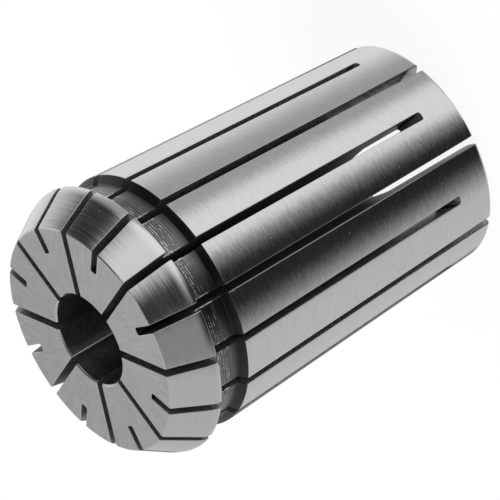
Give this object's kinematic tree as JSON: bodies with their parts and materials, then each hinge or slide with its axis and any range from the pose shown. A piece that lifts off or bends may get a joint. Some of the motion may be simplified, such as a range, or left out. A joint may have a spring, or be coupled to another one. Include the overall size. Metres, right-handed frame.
{
  "type": "spring collet",
  "caption": "Spring collet with a 1:10 tapered body, a conical nose behind a nut groove, and slots sawn from both ends, which grips a 12 mm shank in a collet chuck.",
  "frame": {"origin": "centre of the rear face, which the part stands on", "axes": "+Z along the axis from the rear face to the nose; a slot that starts at the nose points along -Y"},
  "size_m": [0.035, 0.035, 0.052],
  "materials": {
    "ground_steel": "ground bright on the taper, nose cone and nose face, as turned in the groove, dark in the bore and slots"
  },
  "bodies": {
    "root": {"collet": "ground_steel"}
  },
  "joints": []
}
